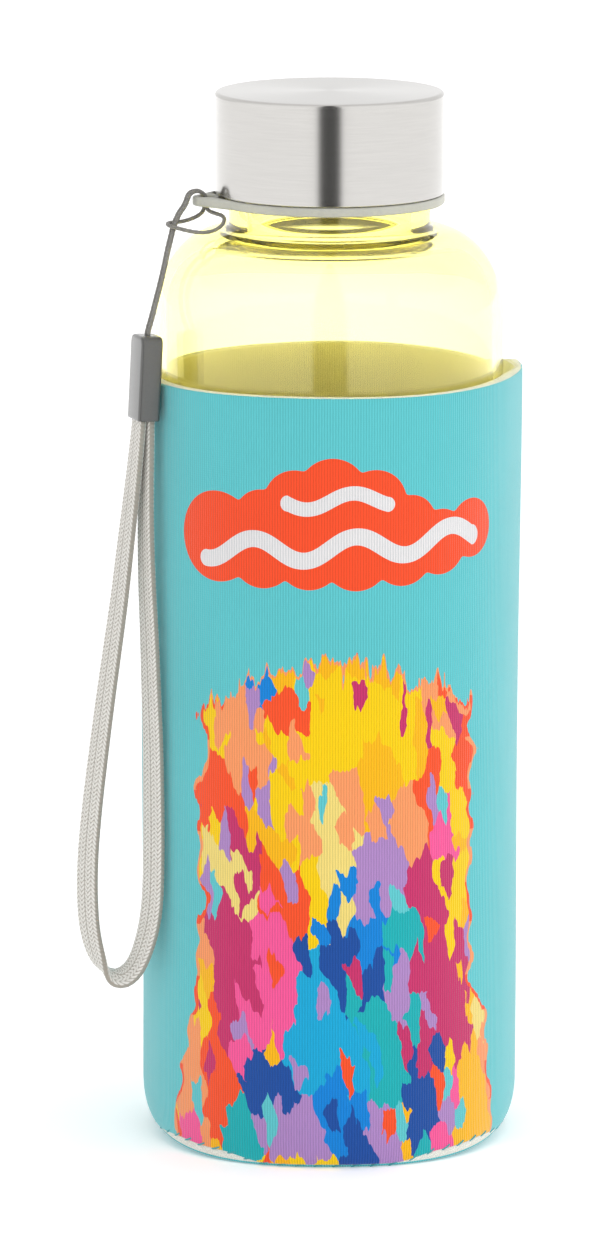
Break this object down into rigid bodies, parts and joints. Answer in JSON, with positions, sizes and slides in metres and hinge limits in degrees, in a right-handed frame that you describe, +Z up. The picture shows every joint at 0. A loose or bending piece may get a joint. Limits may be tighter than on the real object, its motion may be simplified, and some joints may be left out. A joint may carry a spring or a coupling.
{
  "type": "glass water bottle",
  "caption": "Round glass water bottle with a steel screw cap, a swivel ring with a corded webbing wrist loop, and a printed knit sleeve round the body.",
  "frame": {"origin": "centre of the sleeve's base, on the surface the bottle stands on", "axes": "+Z up along the bottle; -X towards the wrist strap; -Y towards the front of the print"},
  "size_m": [0.0848, 0.0716, 0.2007],
  "materials": {
    "glass": "pale yellow, clear and polished",
    "cap_steel": "brushed round the side and across the top",
    "liner_plastic": "moulded natural white polypropylene",
    "gasket_silicone": "matt silicone",
    "ring_plastic": "satin light grey",
    "sleeve_print": "fine ribbed knit over foam, printed with a bright abstract pattern",
    "sleeve_lining": "light grey jersey",
    "seam_thread": "twisted polyester",
    "lug_cord": "fine dark grey braid",
    "clasp_plastic": "satin dark grey",
    "webbing": "off-white herringbone braid"
  },
  "bodies": {
    "sleeve": {"sleeve_body": "sleeve_print", "sleeve_lining": "sleeve_lining", "sleeve_base": "sleeve_print", "sleeve_base_lining": "sleeve_lining", "side_seam_thread": "seam_thread", "base_seam_thread": "seam_thread"},
    "bottle": {"glass_body": "glass"},
    "ring": {"strap_ring": "ring_plastic"},
    "cap": {"cap_shell": "cap_steel", "cap_liner": "liner_plastic", "cap_gasket": "gasket_silicone"},
    "cord": {"lug_cord": "lug_cord"},
    "grip": {"cord_knot": "lug_cord", "clasp_housing": "clasp_plastic", "strap_webbing": "webbing", "webbing_tack": "webbing"}
  },
  "joints": [
    {"name": "bottle_lift", "type": "slide", "parent": "sleeve", "child": "bottle", "axis": [0, 0, 1], "range_m": [0, 0.155]},
    {"name": "cap_lift", "type": "slide", "parent": "bottle", "child": "ring", "axis": [0, 0, 1], "range_m": [0, 0.024]},
    {"name": "cap_twist", "type": "hinge", "parent": "ring", "child": "cap", "pos_m": [0, 0, 0.19], "axis": [0, 0, 1], "range_deg": [0, 2160]},
    {"name": "strap_swing", "type": "hinge", "parent": "ring", "child": "cord", "pos_m": [-0.0252, -0.00445, 0.18025], "axis": [-0.3584, 0.9336, 0], "range_deg": [0, 140]},
    {"name": "clasp_swing", "type": "hinge", "parent": "cord", "child": "grip", "pos_m": [-0.0342, -0.0168, 0.1562], "axis": [-0.9336, -0.3584, 0], "range_deg": [-25, 25]}
  ],
  "couplings": [
    {"joint": "cap_twist", "follows": "cap_lift", "rad_per_m": 1570.8}
  ]
}
